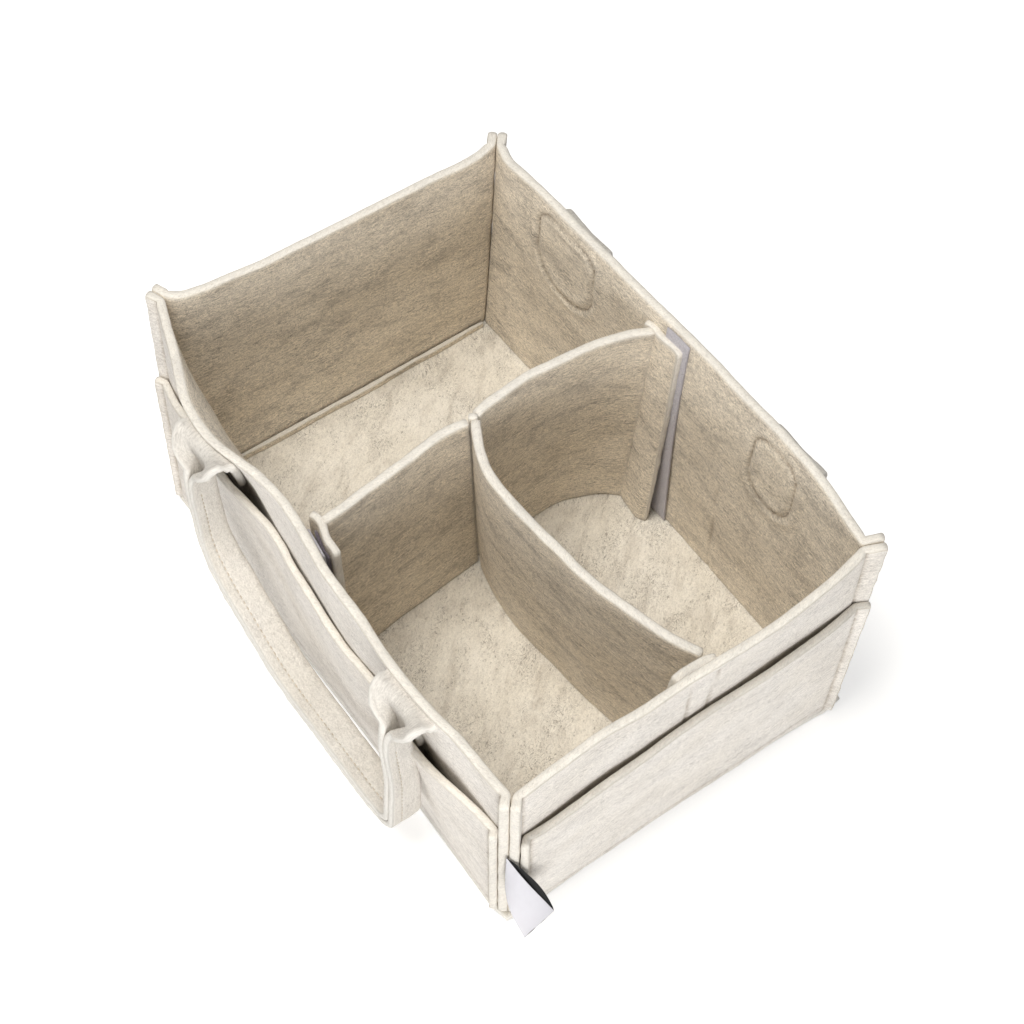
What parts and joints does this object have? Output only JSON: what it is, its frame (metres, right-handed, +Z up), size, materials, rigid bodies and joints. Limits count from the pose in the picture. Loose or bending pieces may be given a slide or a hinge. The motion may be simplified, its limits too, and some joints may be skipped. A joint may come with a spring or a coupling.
{
  "type": "diaper caddy",
  "caption": "Open rectangular felt caddy with outside pockets, two folded strap handles and a lift-out T-shaped divider.",
  "frame": {"origin": "centre of the underside of the base, on the floor", "axes": "+X along the length toward the front end wall, +Y toward the right long wall, +Z up"},
  "size_m": [0.3771, 0.294, 0.1762],
  "materials": {
    "felt": "matte wool felt",
    "hook_tape": "matte hook tape",
    "loop_tape": "matte loop tape",
    "ribbon": "smooth woven ribbon"
  },
  "bodies": {
    "caddy": {"base_panel": "felt", "long_wall_left": "felt", "end_wall_front": "felt", "long_wall_right": "felt", "end_wall_back": "felt", "back_foot_strip": "felt", "pocket_left": "felt", "pocket_front": "felt", "pocket_right": "felt", "pocket_back": "felt", "handle_left_patch_back": "felt", "handle_left_patch_front": "felt", "handle_right_patch_back": "felt", "handle_right_patch_front": "felt", "loop_strip_left": "loop_tape", "loop_strip_right": "loop_tape", "loop_strip_front": "loop_tape", "side_label": "ribbon"},
    "handle_left": {"handle_left": "felt"},
    "handle_right": {"handle_right": "felt"},
    "divider": {"divider_cross_left": "felt", "divider_cross_right": "felt", "divider_long": "felt", "divider_flap_left": "felt", "divider_flap_right": "felt", "divider_flap_front": "felt", "hook_strip_left": "hook_tape", "hook_strip_right": "hook_tape", "hook_strip_front": "hook_tape"}
  },
  "joints": [
    {"name": "handle_left_swing", "type": "hinge", "parent": "caddy", "child": "handle_left", "pos_m": [0.016, -0.13525, 0.17], "axis": [-1, 0, 0], "range_deg": [0, 215]},
    {"name": "handle_right_swing", "type": "hinge", "parent": "caddy", "child": "handle_right", "pos_m": [0.005, 0.12091, 0.152], "axis": [1, 0, 0], "range_deg": [0, 180]},
    {"name": "divider_lift", "type": "slide", "parent": "caddy", "child": "divider", "axis": [0, 0, 1], "range_m": [0, 0.33]}
  ]
}
